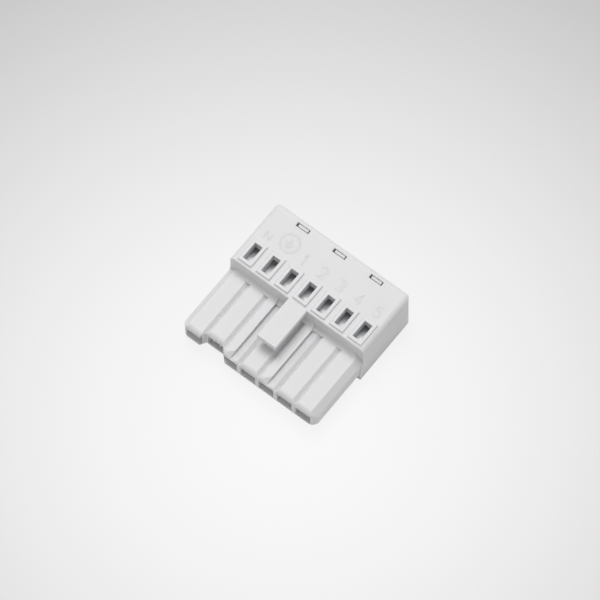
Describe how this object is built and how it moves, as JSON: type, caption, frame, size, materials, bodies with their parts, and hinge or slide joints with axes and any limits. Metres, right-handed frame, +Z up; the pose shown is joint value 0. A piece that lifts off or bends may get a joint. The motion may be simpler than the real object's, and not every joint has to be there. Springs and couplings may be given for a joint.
{
  "type": "wire to board connector housing",
  "caption": "Pluggable terminal housing with a tall cage-clamp block, raised test windows, a low coded plug side, a latch tab and a rear cover with square wire entries.",
  "frame": {"origin": "middle of the overall width and length, on the plane of the clamp block's flat underside", "axes": "+X along the row of poles, -Y is the mating side and +Y the wire side, +Z up through the test windows"},
  "size_m": [0.037, 0.034, 0.0129],
  "materials": {
    "housing_plastic": "fine moulded matt, light grey polyamide",
    "cover_plastic": "fine moulded matt, light grey polyamide",
    "contact_metal": "tin-plated copper alloy sheet, stamped and bent",
    "spring_steel": "bright stainless spring strip"
  },
  "bodies": {
    "root": {"housing": "housing_plastic", "rear_cover": "cover_plastic", "contact_1": "contact_metal", "contact_2": "contact_metal", "contact_3": "contact_metal", "contact_4": "contact_metal", "contact_5": "contact_metal", "contact_6": "contact_metal", "contact_7": "contact_metal", "clamp_spring_1": "spring_steel", "clamp_spring_2": "spring_steel", "clamp_spring_3": "spring_steel", "clamp_spring_4": "spring_steel", "clamp_spring_5": "spring_steel", "clamp_spring_6": "spring_steel", "clamp_spring_7": "spring_steel"}
  },
  "joints": []
}
